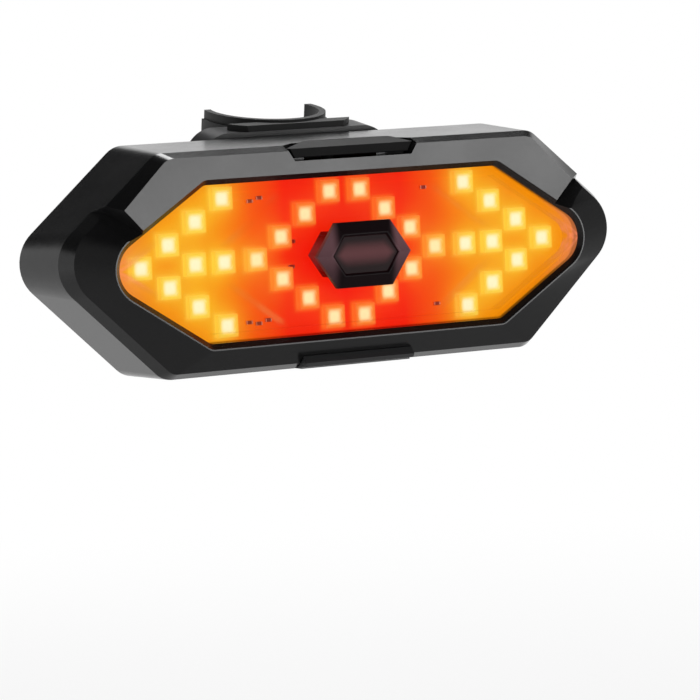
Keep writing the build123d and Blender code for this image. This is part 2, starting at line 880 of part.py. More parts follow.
def cover_screws():
    """Six screws through the rear cover into the housing bosses."""
    seat = cover_back - screw_head_height
    tip = cover_front - screw_length + slide_fit
    return Compound(children=[screw(x, z, seat, tip, screw_r, screw_head_r, screw_head_height)
                              for x, z in boss_places])


# The bracket follows the post, which leans towards the lamp at the top
lean = radians(post_lean)
clamp_frame = Plane(origin=(0, 0, 0), x_dir=(1, 0, 0), z_dir=(0, -sin(lean), cos(lean)))
post_r = post_d / 2
saddle_r = post_r + saddle_thickness
arm_slot_x = saddle_r + arm_slot_offset
bracket_half_width = arm_slot_x + arm_slot_half_width + arm_wall
bracket_front_y = -saddle_r - bracket_front_wall


def clamp_level(z):
    """Plane across the post's axis at a distance along it."""
    return clamp_frame.offset(z)


def clamp_prism(sketch, low, high):
    """Sketch extruded along the post's axis between two distances."""
    return extrude(clamp_level(low) * sketch, amount=high - low, dir=clamp_frame.z_dir)


def clamp_plan():
    """Plan of the bracket: a rounded block that the post passes through."""
    depth = bracket_back_y - bracket_front_y
    centre = (bracket_back_y + bracket_front_y) / 2
    return Pos(0, centre) * RectangleRounded(2 * bracket_half_width, depth, bracket_corner_r)


def shoulder_form():
    """Front view of the bracket with rounded shoulders, as a long prism."""
    height = clamp_high - clamp_low
    view = Plane(origin=clamp_frame.from_local_coords(Vector(0, -rim_to_post, (clamp_high + clamp_low) / 2)),
                 x_dir=(1, 0, 0), z_dir=-clamp_frame.y_dir)
    shape = RectangleRounded(2 * bracket_half_width, height, bracket_shoulder_r)
    return extrude(view * shape, amount=2 * rim_to_post, dir=clamp_frame.y_dir)


def post_channel(r):
    """Space for the post: a bore that stays open towards the back."""
    open_back = Pos(0, bracket_back_y) * Rectangle(2 * r, 2 * bracket_back_y)
    reach = clamp_high - clamp_low
    return clamp_prism(Circle(r) + open_back, clamp_low - reach, clamp_high + reach)


def arm_slot(side):
    """Slot in the back of one arm for the strap's eye."""
    depth = bracket_back_y + cut_overrun - arm_slot_front_y
    plan = Pos(side * arm_slot_x, arm_slot_front_y + depth / 2) * Rectangle(2 * arm_slot_half_width, depth)
    return clamp_prism(plan, arm_slot_low, arm_slot_high)


def bracket():
    """Rigid bracket: a saddle for the post, two arms with strap pins, and the head inside the rails."""
    body = clamp_prism(clamp_plan(), clamp_low, clamp_high) & shoulder_form()
    body -= post_channel(saddle_r + face_gap)
    reach = 2 * bracket_half_width
    behind = Pos(0, arm_front_y + reach / 2) * Rectangle(2 * reach, reach)
    body -= clamp_prism(behind, arm_high, clamp_high + cut_overrun)
    front_limit = lip_back + bracket_plate_gap
    body -= block(-rim_to_post, rim_to_post, -rim_to_post, front_limit, -rim_to_post, rim_to_post)
    for side in (-1, 1):
        body -= arm_slot(side)
        body += clamp_prism(Pos(side * arm_slot_x, pin_y) * Circle(pin_r), arm_slot_low, arm_slot_high)
    neck_half = head_half_width + slide_fit - rail_lip - neck_clearance
    head_high = rail_high - rail_stop - face_gap
    body += block(-neck_half, neck_half, head_back - face_gap, front_limit + wall, rail_low, head_high)
    body += block(-head_half_width, head_half_width, head_front, head_back, rail_low, head_high)
    return body


def clamp_pad():
    """Rubber sleeve between the bracket and the post, with a flange and a collar on top."""
    sleeve = clamp_prism(Circle(saddle_r), clamp_low, clamp_high)
    flange_top = clamp_high + face_gap + pad_flange_thickness
    reach = rim_to_post
    lamp_side = Pos(0, pad_flange_back_y - reach / 2) * Rectangle(2 * reach, reach)
    flange = clamp_prism(Circle(saddle_r + pad_flange_margin) & lamp_side, clamp_high + face_gap, flange_top)
    collar = clamp_prism(Circle(post_r + pad_collar_thickness), clamp_high, flange_top + pad_collar_height)
    body = sleeve + flange + collar
    body -= clamp_prism(Circle(post_r), clamp_low - cut_overrun, clamp_high + reach)
    behind = Pos(0, pad_opening_y + reach / 2) * Rectangle(2 * reach, reach)
    body -= clamp_prism(behind, clamp_low - cut_overrun, clamp_high + reach)
    front = block(-reach, reach, -reach, lip_back + bracket_plate_gap, -reach, reach)
    return body - front


def strap_plan():
    """Plan of the strap: an arc over the back of the post and two legs to the pins."""
    eye_r = pin_r + strap_gap + strap_eye_wall
    inner_r = post_r + face_gap
    outer_r = post_r + strap_thickness
    arc = Circle(outer_r) - Circle(inner_r)
    solid = arc & (Pos(0, pin_y + outer_r / 2 + eye_r) * Rectangle(2 * outer_r, outer_r + 2 * eye_r))
    return solid


def strap_leg(side):
    """One leg of the strap in plan, from the arc to the eye round a pin."""
    eye_r = pin_r + strap_gap + strap_eye_wall
    start = Vector(side * arm_slot_x, pin_y)
    mid_r = post_r + strap_thickness / 2 + face_gap
    end = Vector(side * mid_r * strap_leg_share, mid_r * (1 - strap_leg_share ** 2) ** 0.5)
    along = end - start
    middle = (start + end) / 2
    angle = degrees_of(along)
    leg = Pos(middle.X, middle.Y) * Rot(0, 0, angle) * Rectangle(along.length, strap_thickness)
    return leg + Pos(start.X, start.Y) * Circle(eye_r)


def degrees_of(vector):
    """Angle of a flat vector from +X, in degrees."""
    return atan2(vector.Y, vector.X) / radians(1)


def clamp_strap():
    """Rubber strap behind the post, with an eye over the pin of each arm."""
    plan = strap_plan() + strap_leg(1) + strap_leg(-1)
    for side in (-1, 1):
        plan -= Pos(side * arm_slot_x, pin_y) * Circle(pin_r + strap_gap)
    plan -= Circle(post_r + face_gap)
    plan -= Pos(arm_slot_x, pin_y - pin_r - strap_gap) * Rectangle(strap_mouth, 2 * strap_eye_wall)
    return clamp_prism(plan, arm_slot_low + strap_gap, arm_slot_high - strap_gap)


nodes = {
    "housing": housing,
    "lens": lens,
    "lens_gasket": lens_gasket,
    "centre_cap": centre_cap,
    "led_board": led_board,
    "amber_leds_left": lambda: lamps(arrow_places(-1)),
    "amber_leds_right": lambda: lamps(arrow_places(1)),
    "red_leds": lambda: lamps(ring_places()),
    "board_screws": board_screws,
    "control_board": control_board,
    "board_spacers": spacers,
    "control_screws": control_screws,
    "board_header": board_header,
    "control_chip": control_chip,
    "receiver_module": receiver_module,
    "antenna": antenna,
    "battery": battery,
    "battery_pad": battery_pad,
    "battery_plug": battery_plug,
    "battery_lead": battery_lead,
    "charging_port": charging_port,
    "port_cover": port_cover,
    "mode_button": mode_button,
    "mode_switch": mode_switch,
    "switch_plunger": switch_plunger,
    "rear_gasket": rear_gasket,
    "rear_cover": rear_cover,
    "cover_screws": cover_screws,
    "bracket": bracket,
    "clamp_pad": clamp_pad,
    "clamp_strap": clamp_strap,
}

os.makedirs("parts", exist_ok=True)
for name, make in nodes.items():
    export_step(make(), f"parts/{name}.step")
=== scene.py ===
"""Looks of the bicycle turn signal light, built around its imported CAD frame.

Lengths in the size fields are millimetres in the frame's own axes, and MM turns them into metres.
"""

import logging
import math
from dataclasses import dataclass
from enum import Enum
from typing import Optional, Protocol, Sequence, Union

import bmesh
import bpy
from mathutils import Matrix, Vector


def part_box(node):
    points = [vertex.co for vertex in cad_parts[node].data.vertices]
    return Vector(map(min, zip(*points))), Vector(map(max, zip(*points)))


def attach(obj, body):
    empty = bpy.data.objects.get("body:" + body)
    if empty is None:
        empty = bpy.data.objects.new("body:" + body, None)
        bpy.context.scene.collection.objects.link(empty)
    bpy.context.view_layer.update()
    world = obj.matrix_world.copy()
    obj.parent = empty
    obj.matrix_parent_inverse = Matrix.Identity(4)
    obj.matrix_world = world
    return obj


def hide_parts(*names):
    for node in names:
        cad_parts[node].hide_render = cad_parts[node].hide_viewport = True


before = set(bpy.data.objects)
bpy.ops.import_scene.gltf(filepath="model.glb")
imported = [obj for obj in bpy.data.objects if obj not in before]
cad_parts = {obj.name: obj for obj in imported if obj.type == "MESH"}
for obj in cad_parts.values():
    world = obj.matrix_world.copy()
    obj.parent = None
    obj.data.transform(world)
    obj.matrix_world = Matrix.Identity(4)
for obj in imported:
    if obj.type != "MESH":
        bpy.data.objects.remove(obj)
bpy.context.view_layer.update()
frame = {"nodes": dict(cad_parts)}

log = logging.getLogger("light")
MM = 0.001
Number = Union[int, float]
Colour = tuple[float, float, float]
Place = tuple[float, float, float]
Span = tuple[float, float]
BLACK: Colour = (0.0, 0.0, 0.0)
WHITE = (1.0, 1.0, 1.0, 1.0)
BLACK_MOULDING: Colour = (0.0055, 0.0055, 0.0058)
# Edges that turn by more than this are rounded.
SHARP = math.radians(12)
# Corners closer than this many millimetres are joined.
MERGE = 0.02


class Noise(Enum):
    """Kinds of small surface variation."""

    MOULD_GRAIN = (2600.0, 4.0, 0.55)
    SOFT_CLOUD = (60.0, 3.0, 0.5)
    DUST = (900.0, 2.0, 0.6)


class Graph:
    """Makes the nodes of one material or of the world."""

    def __init__(self, name: str, world: Optional[bpy.types.World] = None) -> None:
        """Starts an empty node tree.

        Args:
            name: The material's name.
            world: The world, where the nodes are its own.
        """
        self.owner = world or bpy.data.materials.new(name)
        self.owner.use_nodes = True
        self.tree = self.owner.node_tree
        self.tree.nodes.clear()

    def node(self, kind: str, settings: Optional[dict] = None, inputs: Optional[dict] = None,
             stops: Optional[Sequence[tuple[float, Colour]]] = None) -> bpy.types.Node:
        """Makes one node.

        Args:
            kind: The node's type name.
            settings: Properties to set before its sockets are filled.
            inputs: Values or sockets by input name or number.
            stops: Places and colours of a colour ramp.

        Returns:
            The new node.
        """
        made = self.tree.nodes.new(kind)
        for key, value in (settings or {}).items():
            setattr(made, key, value)
        if stops:
            ramp = made.color_ramp
            while len(ramp.elements) < len(stops):
                ramp.elements.new(1.0)
            for element, (place, colour) in zip(ramp.elements, stops):
                element.position = place
                element.color = (*colour, 1.0)
        for key, value in (inputs or {}).items():
            socket = made.inputs[key]
            if isinstance(value, Wire):
                self.tree.links.new(value.socket, socket)
            elif isinstance(value, bpy.types.NodeSocket):
                self.tree.links.new(value, socket)
            else:
                socket.default_value = value
        return made

    def wire(self, socket: bpy.types.NodeSocket) -> "Wire":
        """Wraps an output socket for sums."""
        return Wire(self, socket)

    def maths(self, operation: str, *values: Union["Wire", Number], clamp: bool = False) -> "Wire":
        """Adds one Math node.

        Args:
            operation: The Math node's operation.
            values: Its inputs, in order.
            clamp: Whether the result is held between 0 and 1.

        Returns:
            The result.
        """
        settings = {"operation": operation, "use_clamp": clamp}
        made = self.node("ShaderNodeMath", settings, dict(enumerate(values)))
        return self.wire(made.outputs[0])

    def place(self) -> tuple["Wire", "Wire", "Wire"]:
        """X, Y and Z of the shaded point, in millimetres."""
        coords = self.node("ShaderNodeTexCoord")
        split = self.node("ShaderNodeSeparateXYZ", inputs={0: coords.outputs["Object"]})
        return tuple(self.wire(split.outputs[axis]) * (1 / MM) for axis in range(3))

    def noise(self, kind: Noise, stretch: Place = (1.0, 1.0, 1.0)) -> "Wire":
        """Noise over Object coordinates, centred on a half.

        Args:
            kind: Which variation.
            stretch: Scale along each axis.

        Returns:
            The noise value.
        """
        scale, detail, rough = kind.value
        coords = self.node("ShaderNodeTexCoord")
        moved = self.node("ShaderNodeMapping", inputs={"Vector": coords.outputs["Object"], "Scale": stretch})
        made = self.node("ShaderNodeTexNoise", inputs={
            "Vector": moved.outputs[0], "Scale": scale, "Detail": detail, "Roughness": rough})
        return self.wire(made.outputs[0])

    def blend(self, factor: Union["Wire", Number], low: Union[Colour, bpy.types.NodeSocket],
              high: Union[Colour, bpy.types.NodeSocket]) -> bpy.types.NodeSocket:
        """Blends two colours.

        Args:
            factor: How much of the second.
            low: First colour.
            high: Second colour.

        Returns:
            The colour socket.
        """
        first, second = ((*value, 1.0) if isinstance(value, tuple) else value for value in (low, high))
        # The Mix node's colours are its inputs 6 and 7 and its output 2.
        made = self.node("ShaderNodeMix", {"data_type": "RGBA"}, {0: factor, 6: first, 7: second})
        return made.outputs[2]

    def bump(self, height: "Wire", distance: float) -> bpy.types.NodeSocket:
        """Turns a height into a normal.

        Args:
            height: The height, from 0 to 1.
            distance: Depth of the relief in millimetres.

        Returns:
            The normal socket.
        """
        made = self.node("ShaderNodeBump", inputs={
            "Strength": 1.0, "Distance": distance * MM, "Height": height})
        return made.outputs[0]

    def surface(self, inputs: dict) -> bpy.types.Material:
        """Ends the material with its shader.

        Args:
            inputs: Values or sockets of the shader.

        Returns:
            The finished material.
        """
        shader = self.node("ShaderNodeBsdfPrincipled", inputs=inputs)
        self.node("ShaderNodeOutputMaterial", inputs={"Surface": shader.outputs[0]})
        return self.owner


class Wire:
    """A socket that sums and products can be written with."""

    def __init__(self, graph: Graph, socket: bpy.types.NodeSocket) -> None:
        """Keeps the socket and its graph."""
        self.graph = graph
        self.socket = socket

    def __add__(self, other: Union["Wire", Number]) -> "Wire":
        """Sum."""
        return self.graph.maths("ADD", self, other)

    def __sub__(self, other: Union["Wire", Number]) -> "Wire":
        """Difference."""
        return self.graph.maths("SUBTRACT", self, other)

    def __rsub__(self, other: Number) -> "Wire":
        """Difference."""
        return self.graph.maths("SUBTRACT", other, self)

    def __mul__(self, other: Union["Wire", Number]) -> "Wire":
        """Product."""
        return self.graph.maths("MULTIPLY", self, other)

    def __neg__(self) -> "Wire":
        """Negative."""
        return self.graph.maths("MULTIPLY", self, -1.0)

    def __abs__(self) -> "Wire":
        """Size without its sign."""
        return self.graph.maths("ABSOLUTE", self)

    def power(self, exponent: Number) -> "Wire":
        """This value to a power."""
        return self.graph.maths("POWER", self, exponent)

    def held(self) -> "Wire":
        """This value held between 0 and 1."""
        return self.graph.maths("ADD", self, 0.0, clamp=True)

    def step(self, low: Number, high: Number) -> "Wire":
        """Smooth step from 0 at the low value to 1 at the high one."""
        made = self.graph.node("ShaderNodeMapRange", {"interpolation_type": "SMOOTHSTEP"}, {
            "Value": self, "From Min": low, "From Max": high})
        return self.graph.wire(made.outputs[0])


class Finish(Protocol):
    """Anything that makes a material."""

    def material(self) -> bpy.types.Material:
        """Builds the material."""


@dataclass(frozen=True)
class Moulding:
    """Moulded black plastic or rubber with a fine grain."""

    name: str
    colour: Colour
    roughness: float
    grain: float = 0.012
    gloss: float = 0.5
    cloud_share: float = 0.6
    dust_share: float = 0.3
    cloud_wear: float = 0.12
    dust_wear: float = 0.06
    lift: Span = (1.25, 0.003)

    def material(self) -> bpy.types.Material:
        """Builds the material."""
        g = Graph(self.name)
        grain = g.noise(Noise.MOULD_GRAIN)
        cloud = g.noise(Noise.SOFT_CLOUD)
        dust = g.noise(Noise.DUST)
        more, least = self.lift
        lighter = tuple(min(1.0, c * more + least) for c in self.colour)
        colour = g.blend(cloud * self.cloud_share + dust * self.dust_share, self.colour, lighter)
        return g.surface({
            "Base Color": colour,
            "Roughness": (cloud - 0.5) * self.cloud_wear + (dust - 0.5) * self.dust_wear + self.roughness,
            "Specular IOR Level": self.gloss,
            "Normal": g.bump(grain, self.grain),
        })


@dataclass(frozen=True)
class Metal:
    """Plain metal with fine brushing."""

    name: str
    colour: Colour
    roughness: float
    stretch: Place = (1.0, 1.0, 8.0)
    shade: float = 0.8
    brushing: float = 0.2
    depth: float = 0.004

    def material(self) -> bpy.types.Material:
        """Builds the material."""
        g = Graph(self.name)
        brushed = g.noise(Noise.MOULD_GRAIN, self.stretch)
        cloud = g.noise(Noise.SOFT_CLOUD)
        darker = tuple(c * self.shade for c in self.colour)
        return g.surface({
            "Base Color": g.blend(cloud, self.colour, darker),
            "Metallic": 1.0,
            "Roughness": (brushed - 0.5) * self.brushing + self.roughness,
            "Normal": g.bump(brushed, self.depth),
        })


@dataclass(frozen=True)
class LampGrid:
    """Places of the lamps behind the lens, in millimetres, on one quarter of the board."""

    arrow_x: float = 31.0
    arrow_step_x: float = 6.85
    shaft_step_x: float = 7.2
    ring_x: float = 3.9
    ring_step_x: float = 6.35
    step_z: float = 4.68
    rows: int = 3

    def arrow(self) -> list[Span]:
        """Places of an arrow's lamps with X and Z positive."""
        head = [(self.arrow_x + step * self.arrow_step_x, (self.rows - step) * self.step_z)
                for step in range(self.rows + 1)]
        return head + [(self.arrow_x, 0.0), (self.arrow_x + self.shaft_step_x, 0.0)]

    def ring(self) -> list[Span]:
        """Places of the ring's lamps with X and Z positive."""
        return [(self.ring_x + step * self.ring_step_x, (self.rows - step) * self.step_z)
                for step in range(self.rows + 1)]


@dataclass(frozen=True)
class HexEdge:
    """Six-sided outline about the middle of the lens, in millimetres."""

    half_height: float
    corner_x: float
    tip_x: float

    def outside(self, x: Wire, z: Wire) -> Wire:
        """Distance outside the outline, which is negative inside it."""
        run = self.tip_x - self.corner_x
        length = math.hypot(run, self.half_height)
        slope = (abs(x) - self.tip_x) * (self.half_height / length) + abs(z) * (run / length)
        return x.graph.maths("MAXIMUM", slope, abs(z) - self.half_height)


@dataclass(frozen=True)
class Glow:
    """Amber and red light of the lamps, painted as glow over the lens and its board."""

    amber: Colour = (1.0, 0.31, 0.003)
    red: Colour = (1.0, 0.009, 0.0015)
    orange: Colour = (1.0, 0.1, 0.003)
    amber_halo: Colour = (1.0, 0.62, 0.03)
    red_halo: Colour = (1.0, 0.06, 0.006)
    amber_near: Colour = (1.0, 0.76, 0.09)
    red_near: Colour = (1.0, 0.4, 0.045)
    near_reach: Span = (1.4, 3.6)
    near_share: Span = (0.72, 0.95)
    corner: float = 1.2
    orange_at: float = 0.45
    red_reach: float = 15.0
    amber_reach: float = 33.0
    halo_reach: float = 3.9
    grid: LampGrid = LampGrid()

    def amber_share(self, x: Wire) -> Wire:
        """Share of amber at a place, from 0 in the middle to 1 at both ends."""
        return ((abs(x) - self.red_reach) * (1 / (self.amber_reach - self.red_reach))).held()

    def ground(self, g: Graph, x: Wire) -> bpy.types.NodeSocket:
        """Colour from red in the middle to amber at both ends."""
        ramp = g.node("ShaderNodeValToRGB", inputs={0: self.amber_share(x)}, stops=(
            (0.0, self.red), (self.orange_at, self.orange), (1.0, self.amber)))
        return ramp.outputs[0]

    def halo(self, g: Graph, x: Wire) -> bpy.types.NodeSocket:
        """Colour of the light close to a lamp."""
        return g.blend(self.amber_share(x), self.red_halo, self.amber_halo)

    def spots(self, g: Graph, x: Wire, z: Wire, reach: float) -> Wire:
        """Brightness that falls away softly from every lamp.

        Args:
            g: The material's graph.
            x: Place along the board, in millimetres.
            z: Height, in millimetres.
            reach: Distance at which the brightness has fallen to about a third.

        Returns:
            The brightness, from 0 to 1.
        """
        wide, high = abs(x), abs(z)
        total: Optional[Wire] = None
        for place_x, place_z in self.grid.arrow() + self.grid.ring():
            off_x, off_z = wide - place_x, high - place_z
            spot = g.maths("EXPONENT", (off_x * off_x + off_z * off_z) * (-1 / reach ** 2))
            total = spot if total is None else total + spot
        return total.held()

    def squares(self, g: Graph, x: Wire, z: Wire, inner: float, outer: float) -> Wire:
        """Square patches that fade softly at their edges, one on every lamp.

        Args:
            g: The material's graph.
            x: Place along the board, in millimetres.
            z: Height, in millimetres.
            inner: Half width of the full brightness.
            outer: Half width at which it has faded.

        Returns:
            The brightness, from 0 to 1.
        """
        wide, high = abs(x), abs(z)
        total: Optional[Wire] = None
        for place_x, place_z in self.grid.arrow() + self.grid.ring():
            off = g.maths("SMOOTH_MAX", abs(wide - place_x), abs(high - place_z), self.corner)
            square = 1 - off.step(inner, outer)
            total = square if total is None else total + square
        return total.held()

    def lit(self, g: Graph, x: Wire, z: Wire) -> bpy.types.NodeSocket:
        """Colour of the lamps' light on the board and on the lamps' bodies, brighter close to each lamp; on
        the board it is painted glow.
        """
        far = g.blend(self.spots(g, x, z, self.halo_reach), self.ground(g, x), self.halo(g, x))
        near = g.blend(self.amber_share(x), self.red_near, self.amber_near)
        red_most, amber_most = self.near_share
        share = self.amber_share(x) * (amber_most - red_most) + red_most
        return g.blend(self.squares(g, x, z, *self.near_reach) * share, far, near)


@dataclass(frozen=True)
class BoardFinish:
    """White board, with the light of the lamps that stand on it painted into its colour and emission as a
    painted glow.
    """

    name: str = "lamp_board"
    strength: float = 0.9
    unlit_share: float = 0.22
    lens_half: Span = (64.5, 17.8)
    lens_fade: Span = (2.0, 0.6)
    mottle_contrast: float = 1.6
    mottle_dark: float = 0.55
    mottle_share: float = 0.35
    mottle_colour: Colour = (0.85, 0.1, 0.01)
    roughness: float = 0.45
    wear: float = 0.1
    grain: float = 0.01
    gloss: float = 0.05
    glow: Glow = Glow()

    def material(self) -> bpy.types.Material:
        """Builds the material."""
        g = Graph(self.name)
        x, _, z = g.place()
        # Painted glow: the lamps' light, with a cloudy mottle in it, is painted into the board's base colour
        # and emission, though the board is no lamp.
        mottle = (g.noise(Noise.SOFT_CLOUD) * self.mottle_contrast - self.mottle_dark).held()
        lit = g.blend(mottle * self.mottle_share, self.glow.lit(g, x, z), self.mottle_colour)
        (half_x, half_z), (fade_x, fade_z) = self.lens_half, self.lens_fade
        seen = (1 - abs(x).step(half_x - fade_x, half_x)) * (1 - abs(z).step(half_z - fade_z, half_z))
        grain = g.noise(Noise.MOULD_GRAIN)
        return g.surface({
            "Base Color": g.blend(self.unlit_share, BLACK, lit),
            "Roughness": (grain - 0.5) * self.wear + self.roughness,
            "Emission Color": g.blend(seen, BLACK, lit),
            "Emission Strength": self.strength,
            "Specular IOR Level": self.gloss,
            "Normal": g.bump(grain, self.grain),
        })


@dataclass(frozen=True)
class LampFinish:
    """Square lamp: white hot in its middle, and yellow towards its edges."""

    name: str
    middle: Colour = (1.0, 0.96, 0.62)
    core: Span = (0.7, 2.1)
    body_share: float = 0.92
    unlit_share: float = 0.3
    roughness: float = 0.4
    wear: float = 0.1
    gloss: float = 0.1
    strength: float = 1.0
    glow: Glow = Glow()

    def material(self) -> bpy.types.Material:
        """Builds the material."""
        g = Graph(self.name)
        x, _, z = g.place()
        dust = g.noise(Noise.DUST)
        core = self.glow.squares(g, x, z, *self.core) + (dust - 0.5) * self.wear
        around = g.blend(self.body_share, BLACK, self.glow.lit(g, x, z))
        lit = g.blend(core.held(), around, self.middle)
        return g.surface({
            "Base Color": g.blend(self.unlit_share, BLACK, lit),
            "Roughness": (dust - 0.5) * self.wear + self.roughness,
            "Emission Color": lit,
            "Emission Strength": self.strength,
            "Specular IOR Level": self.gloss,
        })


@dataclass(frozen=True)
class LensFinish:
    """Clear lens with the lamps' light painted on it as a faint glow, a painted pink glow with a painted
    bright line in the clear points at its sides, and painted glints on the slopes of its middle field.
    """

    name: str = "lens_clear"
    clear_alpha: float = 0.1
    point_alpha: float = 0.55
    point_x: Span = (48.0, 60.0)
    rim: HexEdge = HexEdge(17.2, 37.2, 63.8)
    rim_wide: float = 2.6
    rim_fade: Span = (-1.6, 0.4)
    rim_share: float = 0.55
    line_fade: Span = (0.1, 0.6)
    line_share: float = 0.5
    field: HexEdge = HexEdge(15.1, 19.2, 39.6)
    glint_share: float = 0.5
    slope_middle: float = 0.4
    slope_fade: Span = (0.15, 0.9)
    patch_contrast: float = 4.0
    patch_dark: float = 1.5
    tip_z: Span = (3.0, 6.0)
    corner_fade: float = 2.0
    glint: Colour = (1.0, 0.42, 0.12)
    plain_share: float = 0.5
    strength: float = 1.0
    unlit_share: float = 0.12
    roughness: float = 0.1
    wear: float = 0.06
    gloss: float = 0.035
    painted_pink_glow: Colour = (0.95, 0.26, 0.13)
    glow: Glow = Glow()

    def material(self) -> bpy.types.Material:
        """Builds the material."""
        g = Graph(self.name)
        x, _, z = g.place()
        cloud = g.noise(Noise.SOFT_CLOUD)
        inside = self.rim.outside(x, z)
        # Painted pink glow in the clear points: a band inside the lens edge, with a painted highlight line
        # along the band's inner edge.
        rim = inside.step(*(edge - self.rim_wide for edge in self.rim_fade))
        line = 1 - abs(inside + self.rim_wide).step(*self.line_fade)
        point = abs(x).step(*self.point_x) * (rim * self.rim_share + line * self.line_share).held()
        # Painted glints: patchy streaks of light painted along the sloped facets of the middle field, at its
        # sides only, standing in for reflections.
        slope = 1 - abs(self.field.outside(x, z) + self.slope_middle).step(*self.slope_fade)
        corner_x = self.field.corner_x
        sides = abs(x).step(corner_x, corner_x + self.corner_fade) * abs(z).step(*self.tip_z)
        patches = (cloud * self.patch_contrast - self.patch_dark).held()
        painted_glints = slope * patches * sides * self.glint_share
        # Painted glow: the lamps' colour is painted into the lens's base colour and emission, though the
        # lens is no lamp.
        plain = g.blend(self.plain_share, BLACK, self.glow.ground(g, x))
        tint = g.blend(painted_glints, g.blend(point, plain, self.painted_pink_glow), self.glint)
        return g.surface({
            "Base Color": g.blend(self.unlit_share, BLACK, tint),
            "Roughness": (cloud - 0.5) * self.wear + self.roughness,
            "Alpha": ((point + painted_glints) * (self.point_alpha - self.clear_alpha) + self.clear_alpha).held(),
            "Emission Color": tint,
            "Emission Strength": self.strength,
            "Specular IOR Level": self.gloss,
        })


@dataclass(frozen=True)
class CapFinish:
    """Dark frame with painted highlights on its side facets, round a dark red window with a painted sheen
    band across it.
    """

    name: str = "cap_dark_red"
    frame: Colour = (0.012, 0.007, 0.008)
    # Colour of the painted highlight on the frame's side facets, strongest on the upper ones as if lit from
    # above.
    side: Colour = (0.2, 0.1, 0.115)
    side_x: Span = (6.2, 8.6)
    side_z: Span = (-6.0, 3.0)
    side_low: float = 0.35
    dark: Colour = (0.014, 0.003, 0.004)
    # Colour of the painted sheen band across the window.
    pale: Colour = (0.16, 0.05, 0.055)
    outline: HexEdge = HexEdge(7.3, 7.0, 12.1)
    window_inset: float = 3.1
    window_edge: float = 0.15
    band_half: float = 3.6
    band_z: float = 0.3
    band_fade: float = 2.2
    sheen_cloud: float = 0.1
    roughness: float = 0.2
    wear: float = 0.06
    gloss: float = 0.05
    grain: float = 0.002

    def material(self) -> bpy.types.Material:
        """Builds the material."""
        g = Graph(self.name)
        x, _, z = g.place()
        cloud = g.noise(Noise.SOFT_CLOUD)
        grain = g.noise(Noise.MOULD_GRAIN)
        inside = -self.outline.outside(x, z)
        window = inside.step(self.window_inset - self.window_edge, self.window_inset)
        # Painted sheen: a paler band across the middle of the window, fading towards its edges, with cloudy
        # unevenness.
        soft = inside.step(self.window_inset, self.window_inset + self.band_fade)
        band = (1 - abs(z - self.band_z).step(0.0, self.band_half)) * soft + (cloud - 0.5) * self.sheen_cloud
        lit = g.blend(band.held(), self.dark, self.pale)
        # Painted light on the side facets: full at the top, falling to side_low of it at the bottom.
        painted_side_light = z.step(*self.side_z) * (1 - self.side_low) + self.side_low
        edge = g.blend(abs(x).step(*self.side_x) * painted_side_light, self.frame, self.side)
        return g.surface({
            "Base Color": g.blend(window, edge, lit),
            "Roughness": (cloud - 0.5) * self.wear + self.roughness,
            "Specular IOR Level": self.gloss,
            "Normal": g.bump(grain, self.grain),
        })


class Light:
    """Dresses the CAD nodes of the lamp and its bracket."""

    def __init__(self) -> None:
        """Sets up the finishes."""
        self.finishes: dict[str, Finish] = {
            "housing": Moulding("housing_black", BLACK_MOULDING, 0.2, 0.004, 0.48),
            "rear_cover": Moulding("cover_black", (0.016, 0.016, 0.017), 0.5, 0.02),
            "rear_gasket": Moulding("seal_black", (0.02, 0.02, 0.02), 0.8),
            "lens": LensFinish(),
            "lens_gasket": Moulding("seal_black_front", (0.02, 0.02, 0.02), 0.8),
            "centre_cap": CapFinish(),
            "led_board": BoardFinish(),
            "amber_leds_left": LampFinish("amber_left"),
            "amber_leds_right": LampFinish("amber_right"),
            "red_leds": LampFinish("red_ring", (1.0, 0.88, 0.45)),
            "board_screws": Metal("screw_steel", (0.6, 0.6, 0.6), 0.35),
            "control_board": Moulding("board_green", (0.015, 0.12, 0.05), 0.4),
            "board_spacers": Metal("spacer_brass", (0.75, 0.55, 0.25), 0.3),
            "control_screws": Metal("screw_steel_small", (0.6, 0.6, 0.6), 0.35),
            "board_header": Moulding("header_black", (0.02, 0.02, 0.02), 0.5),
            "control_chip": Moulding("chip_black", (0.015, 0.015, 0.016), 0.45),
            "receiver_module": Metal("module_can", (0.62, 0.63, 0.62), 0.4),
            "antenna": Metal("aerial_copper", (0.8, 0.42, 0.22), 0.25),
            "battery": Metal("cell_foil", (0.7, 0.71, 0.73), 0.35),
            "battery_pad": Moulding("tape_foam", (0.05, 0.05, 0.05), 0.9, 0.05),
            "battery_plug": Moulding("plug_white", (0.8, 0.78, 0.7), 0.5),
            "battery_lead": Moulding("lead_red", (0.4, 0.02, 0.02), 0.5),
            "charging_port": Metal("port_steel", (0.7, 0.7, 0.7), 0.25),
            "port_cover": Moulding("cover_satin", (0.03, 0.03, 0.031), 0.24, 0.006, 0.5),
            "mode_button": Moulding("button_rubber", (0.006, 0.006, 0.006), 0.5, 0.01, 0.12),
            "mode_switch": Moulding("switch_black", (0.02, 0.02, 0.02), 0.5),
            "switch_plunger": Moulding("plunger_black", (0.02, 0.02, 0.02), 0.4),
            "cover_screws": Metal("screw_black", (0.1, 0.1, 0.1), 0.4),
            "bracket": Moulding("bracket_black", (0.017, 0.017, 0.018), 0.36, 0.016),
            "clamp_pad": Moulding("pad_rubber", (0.01, 0.01, 0.01), 0.62, 0.025),
            "clamp_strap": Moulding("strap_rubber", (0.026, 0.026, 0.026), 0.7, 0.035),
        }

    def dress(self) -> None:
        """Gives each CAD node its material."""
        for node, finish in self.finishes.items():
            obj = frame["nodes"][node]
            obj.data.materials.clear()
            obj.data.materials.append(finish.material())
            log.info("dressed %s", node)


